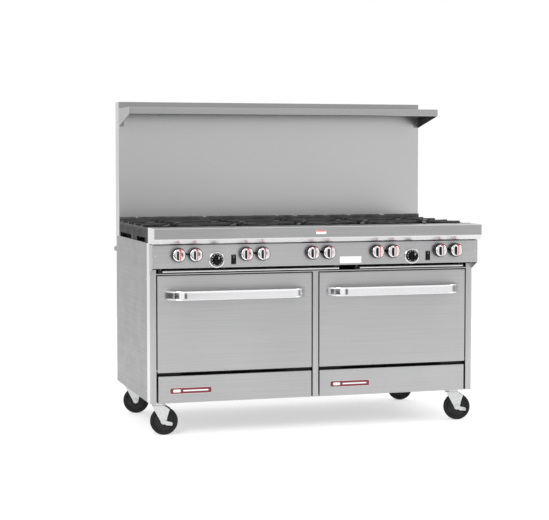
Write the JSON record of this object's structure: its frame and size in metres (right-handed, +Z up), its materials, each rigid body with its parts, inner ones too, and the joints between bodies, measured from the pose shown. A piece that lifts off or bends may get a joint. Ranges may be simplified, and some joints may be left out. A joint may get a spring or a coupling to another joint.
{
  "type": "commercial gas range",
  "caption": "Free-standing stainless gas range: open burners with cast grates over two drop-door ovens, flue riser with high shelf, on swivel casters.",
  "frame": {"origin": "on the floor, at the centre of the overall box in plan", "axes": "+X to the right along the width as seen from the front, +Y to the back, +Z up"},
  "size_m": [1.5588, 0.9488, 1.501],
  "materials": {
    "stainless": "brushed",
    "steel_sheet": "mill",
    "cast_iron": "matte",
    "brass": "satin",
    "enamel": "gloss enamel",
    "insulation": "matt",
    "trim": "satin",
    "zinc": "zinc plated",
    "bright_chrome": "polished",
    "black_plastic": "satin",
    "wheel_tread": "matte"
  },
  "bodies": {
    "cabinet": {"chassis_base": "steel_sheet", "left_side_panel": "stainless", "right_side_panel": "stainless", "rear_panel": "steel_sheet", "front_frame": "stainless", "control_panel": "stainless", "front_ledge": "stainless", "flue_riser": "stainless", "high_shelf": "stainless", "shelf_brackets": "stainless", "burner_box": "steel_sheet", "open_burners": "cast_iron", "gas_manifold": "steel_sheet", "burner_valves": "brass", "oven_liners": "enamel", "oven_insulation": "insulation", "oven_bottoms": "enamel", "kick_panels": "stainless", "trim_plates": "trim", "caster_plates": "zinc", "fasteners": "zinc"},
    "left_door": {"left_door_skin": "stainless", "left_door_liner": "enamel", "left_door_handle": "bright_chrome"},
    "right_door": {"right_door_skin": "stainless", "right_door_liner": "enamel", "right_door_handle": "bright_chrome"},
    "left_oven_rack": {"left_oven_rack": "bright_chrome"},
    "right_oven_rack": {"right_oven_rack": "bright_chrome"},
    "left_crumb_drawer": {"left_crumb_drawer": "stainless"},
    "right_crumb_drawer": {"right_crumb_drawer": "stainless"},
    "grate_1": {"grate_1": "cast_iron"},
    "grate_2": {"grate_2": "cast_iron"},
    "grate_3": {"grate_3": "cast_iron"},
    "grate_4": {"grate_4": "cast_iron"},
    "grate_5": {"grate_5": "cast_iron"},
    "left_thermostat_dial": {"left_thermostat_dial": "black_plastic"},
    "right_thermostat_dial": {"right_thermostat_dial": "black_plastic"},
    "left_oven_switch": {"left_oven_switch": "black_plastic"},
    "right_oven_switch": {"right_oven_switch": "black_plastic"},
    "knob_1": {"knob_1": "bright_chrome"},
    "knob_2": {"knob_2": "bright_chrome"},
    "knob_3": {"knob_3": "bright_chrome"},
    "knob_4": {"knob_4": "bright_chrome"},
    "knob_5": {"knob_5": "bright_chrome"},
    "knob_6": {"knob_6": "bright_chrome"},
    "knob_7": {"knob_7": "bright_chrome"},
    "knob_8": {"knob_8": "bright_chrome"},
    "knob_9": {"knob_9": "bright_chrome"},
    "knob_10": {"knob_10": "bright_chrome"},
    "front_left_caster": {"front_left_caster_fork": "zinc"},
    "front_right_caster": {"front_right_caster_fork": "zinc"},
    "rear_left_caster": {"rear_left_caster_fork": "zinc"},
    "rear_right_caster": {"rear_right_caster_fork": "zinc"},
    "front_left_wheel": {"front_left_caster_wheel": "wheel_tread"},
    "front_right_wheel": {"front_right_caster_wheel": "wheel_tread"},
    "rear_left_wheel": {"rear_left_caster_wheel": "wheel_tread"},
    "rear_right_wheel": {"rear_right_caster_wheel": "wheel_tread"},
    "front_left_brake": {"front_left_brake_pedal": "zinc"},
    "front_right_brake": {"front_right_brake_pedal": "zinc"}
  },
  "joints": [
    {"name": "left_door_hinge", "type": "hinge", "parent": "cabinet", "child": "left_door", "pos_m": [-0.375, -0.354, 0.297], "axis": [1, 0, 0], "range_deg": [0, 90]},
    {"name": "right_door_hinge", "type": "hinge", "parent": "cabinet", "child": "right_door", "pos_m": [0.375, -0.354, 0.297], "axis": [1, 0, 0], "range_deg": [0, 90]},
    {"name": "left_oven_rack_slide", "type": "slide", "parent": "cabinet", "child": "left_oven_rack", "axis": [0, -1, 0], "range_m": [0, 0.036]},
    {"name": "right_oven_rack_slide", "type": "slide", "parent": "cabinet", "child": "right_oven_rack", "axis": [0, -1, 0], "range_m": [0, 0.036]},
    {"name": "left_crumb_drawer_slide", "type": "slide", "parent": "cabinet", "child": "left_crumb_drawer", "axis": [0, -1, 0], "range_m": [0, 0.45]},
    {"name": "right_crumb_drawer_slide", "type": "slide", "parent": "cabinet", "child": "right_crumb_drawer", "axis": [0, -1, 0], "range_m": [0, 0.45]},
    {"name": "grate_1_lift", "type": "slide", "parent": "cabinet", "child": "grate_1", "axis": [0, 0, 1], "range_m": [0, 0.15]},
    {"name": "grate_2_lift", "type": "slide", "parent": "cabinet", "child": "grate_2", "axis": [0, 0, 1], "range_m": [0, 0.15]},
    {"name": "grate_3_lift", "type": "slide", "parent": "cabinet", "child": "grate_3", "axis": [0, 0, 1], "range_m": [0, 0.15]},
    {"name": "grate_4_lift", "type": "slide", "parent": "cabinet", "child": "grate_4", "axis": [0, 0, 1], "range_m": [0, 0.15]},
    {"name": "grate_5_lift", "type": "slide", "parent": "cabinet", "child": "grate_5", "axis": [0, 0, 1], "range_m": [0, 0.15]},
    {"name": "left_thermostat_turn", "type": "hinge", "parent": "cabinet", "child": "left_thermostat_dial", "pos_m": [-0.478, -0.43, 0.788], "axis": [0, -1, 0], "range_deg": [0, 270]},
    {"name": "right_thermostat_turn", "type": "hinge", "parent": "cabinet", "child": "right_thermostat_dial", "pos_m": [0.442, -0.43, 0.788], "axis": [0, -1, 0], "range_deg": [0, 270]},
    {"name": "left_switch_rock", "type": "hinge", "parent": "cabinet", "child": "left_oven_switch", "pos_m": [-0.401, -0.428, 0.788], "axis": [1, 0, 0], "range_deg": [-14, 0]},
    {"name": "right_switch_rock", "type": "hinge", "parent": "cabinet", "child": "right_oven_switch", "pos_m": [0.52, -0.428, 0.788], "axis": [1, 0, 0], "range_deg": [-14, 0]},
    {"name": "knob_1_turn", "type": "hinge", "parent": "cabinet", "child": "knob_1", "pos_m": [-0.6528, -0.43, 0.812], "axis": [0, -1, 0], "range_deg": [0, 90]},
    {"name": "knob_2_turn", "type": "hinge", "parent": "cabinet", "child": "knob_2", "pos_m": [-0.5768, -0.43, 0.812], "axis": [0, -1, 0], "range_deg": [0, 90]},
    {"name": "knob_3_turn", "type": "hinge", "parent": "cabinet", "child": "knob_3", "pos_m": [-0.3454, -0.43, 0.812], "axis": [0, -1, 0], "range_deg": [0, 90]},
    {"name": "knob_4_turn", "type": "hinge", "parent": "cabinet", "child": "knob_4", "pos_m": [-0.2694, -0.43, 0.812], "axis": [0, -1, 0], "range_deg": [0, 90]},
    {"name": "knob_5_turn", "type": "hinge", "parent": "cabinet", "child": "knob_5", "pos_m": [-0.038, -0.43, 0.812], "axis": [0, -1, 0], "range_deg": [0, 90]},
    {"name": "knob_6_turn", "type": "hinge", "parent": "cabinet", "child": "knob_6", "pos_m": [0.038, -0.43, 0.812], "axis": [0, -1, 0], "range_deg": [0, 90]},
    {"name": "knob_7_turn", "type": "hinge", "parent": "cabinet", "child": "knob_7", "pos_m": [0.2694, -0.43, 0.812], "axis": [0, -1, 0], "range_deg": [0, 90]},
    {"name": "knob_8_turn", "type": "hinge", "parent": "cabinet", "child": "knob_8", "pos_m": [0.3454, -0.43, 0.812], "axis": [0, -1, 0], "range_deg": [0, 90]},
    {"name": "knob_9_turn", "type": "hinge", "parent": "cabinet", "child": "knob_9", "pos_m": [0.5768, -0.43, 0.812], "axis": [0, -1, 0], "range_deg": [0, 90]},
    {"name": "knob_10_turn", "type": "hinge", "parent": "cabinet", "child": "knob_10", "pos_m": [0.6528, -0.43, 0.812], "axis": [0, -1, 0], "range_deg": [0, 90]},
    {"name": "front_left_swivel", "type": "hinge", "parent": "cabinet", "child": "front_left_caster", "pos_m": [-0.707, -0.282, 0.13], "axis": [0, 0, 1], "continuous": true},
    {"name": "front_right_swivel", "type": "hinge", "parent": "cabinet", "child": "front_right_caster", "pos_m": [0.707, -0.282, 0.13], "axis": [0, 0, 1], "continuous": true},
    {"name": "rear_left_swivel", "type": "hinge", "parent": "cabinet", "child": "rear_left_caster", "pos_m": [-0.707, 0.332, 0.13], "axis": [0, 0, 1], "continuous": true},
    {"name": "rear_right_swivel", "type": "hinge", "parent": "cabinet", "child": "rear_right_caster", "pos_m": [0.707, 0.332, 0.13], "axis": [0, 0, 1], "continuous": true},
    {"name": "front_left_wheel_spin", "type": "hinge", "parent": "front_left_caster", "child": "front_left_wheel", "pos_m": [-0.68596, -0.28843, 0.062], "axis": [0.2924, 0.9563, 0], "continuous": true},
    {"name": "front_right_wheel_spin", "type": "hinge", "parent": "front_right_caster", "child": "front_right_wheel", "pos_m": [0.72804, -0.28843, 0.062], "axis": [0.2924, 0.9563, 0], "continuous": true},
    {"name": "rear_left_wheel_spin", "type": "hinge", "parent": "rear_left_caster", "child": "rear_left_wheel", "pos_m": [-0.68596, 0.32557, 0.062], "axis": [0.2924, 0.9563, 0], "continuous": true},
    {"name": "rear_right_wheel_spin", "type": "hinge", "parent": "rear_right_caster", "child": "rear_right_wheel", "pos_m": [0.68596, 0.33843, 0.062], "axis": [-0.2924, -0.9563, 0], "continuous": true},
    {"name": "front_left_brake_press", "type": "hinge", "parent": "front_left_caster", "child": "front_left_brake", "pos_m": [-0.68596, -0.28843, 0.062], "axis": [0.2924, 0.9563, 0], "range_deg": [0, 18]},
    {"name": "front_right_brake_press", "type": "hinge", "parent": "front_right_caster", "child": "front_right_brake", "pos_m": [0.72804, -0.28843, 0.062], "axis": [0.2924, 0.9563, 0], "range_deg": [0, 18]}
  ]
}
